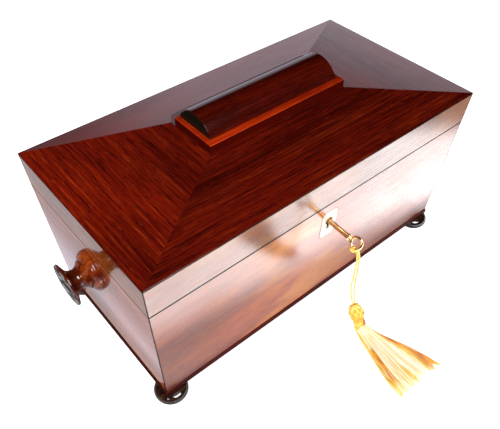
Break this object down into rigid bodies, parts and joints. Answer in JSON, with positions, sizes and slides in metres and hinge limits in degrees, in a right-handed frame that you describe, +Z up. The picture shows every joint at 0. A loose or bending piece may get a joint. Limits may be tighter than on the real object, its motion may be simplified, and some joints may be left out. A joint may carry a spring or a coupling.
{
  "type": "tea caddy",
  "caption": "Sarcophagus-shaped veneered tea caddy with a hinged roof lid, turned handles, bun feet, lined compartments, a mixing bowl and a box lock with its key and tassel.",
  "frame": {"origin": "on the table, under the middle of the case", "axes": "+X along the front to the right, -Y out of the front, +Z up"},
  "size_m": [0.3598, 0.2728, 0.1855],
  "materials": {
    "rosewood": "polished figured veneer",
    "dark_moulding": "polished, dark",
    "ebonised_feet": "ebonised and polished",
    "turned_handle": "turned and polished",
    "carcase_wood": "plain",
    "bone": "polished bone",
    "tea_lead": "dull lead foil on wood",
    "velvet": "pile",
    "clear_glass": "clear, polished",
    "lock_brass": "worn",
    "key_brass": "worn and darkened",
    "silk": "silk thread"
  },
  "bodies": {
    "case": {"back_left_foot": "ebonised_feet", "back_moulding": "dark_moulding", "back_panel": "rosewood", "back_right_foot": "ebonised_feet", "bottom_board": "carcase_wood", "case_hinge_screws": "lock_brass", "escutcheon": "bone", "front_left_foot": "ebonised_feet", "front_lip": "dark_moulding", "front_moulding": "dark_moulding", "front_panel": "rosewood", "front_right_foot": "ebonised_feet", "hinge_pins": "lock_brass", "left_handle_knob": "turned_handle", "left_hinge_case_leaf": "lock_brass", "left_lip": "dark_moulding", "left_moulding": "dark_moulding", "left_panel": "rosewood", "left_partition": "carcase_wood", "left_tea_lining": "tea_lead", "lock_case": "lock_brass", "lock_pin": "lock_brass", "lock_screws": "lock_brass", "lock_spring": "lock_brass", "right_handle_knob": "turned_handle", "right_hinge_case_leaf": "lock_brass", "right_lip": "dark_moulding", "right_moulding": "dark_moulding", "right_panel": "rosewood", "right_partition": "carcase_wood", "right_tea_lining": "tea_lead", "tassel_head": "silk", "tassel_skirt": "silk", "tassel_strand_a": "silk", "tassel_strand_b": "silk", "well_board": "velvet"},
    "lid": {"lid_front_fascia": "rosewood", "lid_back_fascia": "rosewood", "lid_left_fascia": "rosewood", "lid_right_fascia": "rosewood", "roof_front": "rosewood", "roof_back": "rosewood", "roof_left": "rosewood", "roof_right": "rosewood", "ledge_block": "rosewood", "lid_barrel": "rosewood", "lid_liner": "velvet", "link_plate": "lock_brass", "link_plate_screws": "lock_brass", "left_hinge_lid_leaf": "lock_brass", "right_hinge_lid_leaf": "lock_brass", "lid_hinge_screws": "lock_brass"},
    "key": {"key": "key_brass", "tassel_knot": "silk"},
    "bolt": {"lock_bolt": "lock_brass"},
    "left_cover": {"left_tea_cover": "rosewood", "left_tea_cover_knob": "bone"},
    "right_cover": {"right_tea_cover": "rosewood", "right_tea_cover_knob": "bone"},
    "bowl": {"mixing_bowl": "clear_glass"}
  },
  "joints": [
    {"name": "lid_hinge", "type": "hinge", "parent": "case", "child": "lid", "pos_m": [0, 0.08253, 0.1217], "axis": [-1, 0, 0], "range_deg": [0, 100]},
    {"name": "key_turn", "type": "hinge", "parent": "case", "child": "key", "pos_m": [0.002, -0.0789, 0.102], "axis": [0, 0.9983, 0.0579], "range_deg": [-30, 330]},
    {"name": "bolt_slide", "type": "slide", "parent": "case", "child": "bolt", "axis": [1, 0, 0], "range_m": [-0.00055, 0.006]},
    {"name": "left_cover_lift", "type": "slide", "parent": "case", "child": "left_cover", "axis": [0, 0, 1], "range_m": [0, 0.02]},
    {"name": "right_cover_lift", "type": "slide", "parent": "case", "child": "right_cover", "axis": [0, 0, 1], "range_m": [0, 0.02]},
    {"name": "bowl_lift", "type": "slide", "parent": "case", "child": "bowl", "axis": [0, 0, 1], "range_m": [0, 0.02]}
  ],
  "couplings": [
    {"joint": "key_turn", "follows": "bolt_slide", "rad_per_m": 959.93}
  ]
}
